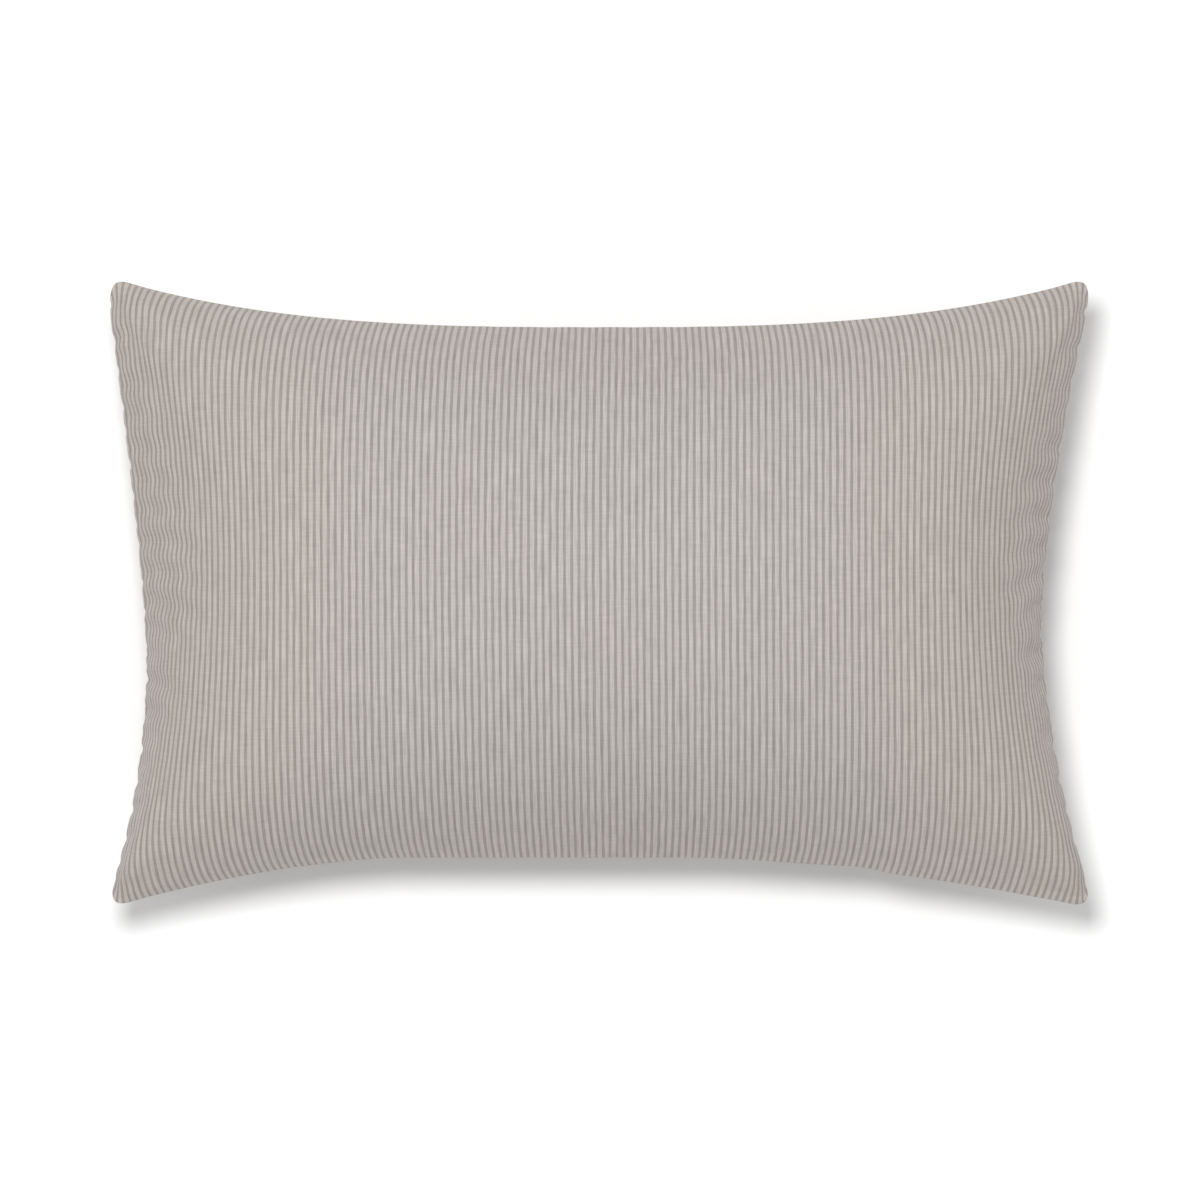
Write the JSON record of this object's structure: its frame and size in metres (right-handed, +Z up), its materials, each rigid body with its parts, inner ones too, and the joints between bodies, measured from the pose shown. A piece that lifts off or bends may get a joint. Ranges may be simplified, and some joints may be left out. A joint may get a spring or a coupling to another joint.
{
  "type": "throw pillow",
  "caption": "Oblong stuffed cushion with a striped woven cover, knife-edge seams, pulled-in sides and a concealed zipper behind one long seam.",
  "frame": {"origin": "centre of the bounding box at the bottom, on the surface that the pillow rests on", "axes": "+X along the pillow's length, +Y across it away from the zipper's seam, +Z up through the front panel"},
  "size_m": [0.545, 0.346, 0.155],
  "materials": {
    "cover_cloth": "ribbed plain weave, matt",
    "cover_thread": "spun polyester thread",
    "label_cloth": "blank satin ribbon",
    "zipper_tape": "herringbone tape",
    "zipper_coil": "nylon coil",
    "slider_metal": "enamelled zinc",
    "insert_cloth": "non-woven, matt",
    "insert_thread": "spun polyester thread",
    "fibre_fill": "siliconised polyester fibre"
  },
  "bodies": {
    "cover": {"cover_front_panel": "cover_cloth", "cover_back_panel": "cover_cloth", "cover_seam_thread": "cover_thread", "care_label": "label_cloth", "zipper_tape_front": "zipper_tape", "zipper_tape_back": "zipper_tape", "zipper_coil_front": "zipper_coil", "zipper_coil_back": "zipper_coil", "zipper_stitching_front": "cover_thread", "zipper_stitching_back": "cover_thread", "zipper_bar_tacks": "cover_thread", "zipper_top_stop": "slider_metal", "zipper_bottom_stop": "slider_metal", "insert_front_panel": "insert_cloth", "insert_back_panel": "insert_cloth", "insert_seam_thread": "insert_thread", "insert_fill": "fibre_fill", "insert_label": "label_cloth"},
    "slider": {"slider_body": "slider_metal"},
    "pull": {"slider_pull": "slider_metal"}
  },
  "joints": [
    {"name": "zipper_slide", "type": "slide", "parent": "cover", "child": "slider", "axis": [-1, 0, 0], "range_m": [0, 0.27]},
    {"name": "pull_hinge", "type": "hinge", "parent": "slider", "child": "pull", "pos_m": [0.135, -0.1449, 0.05705], "axis": [0, -0.454, 0.891], "range_deg": [0, 165]}
  ]
}
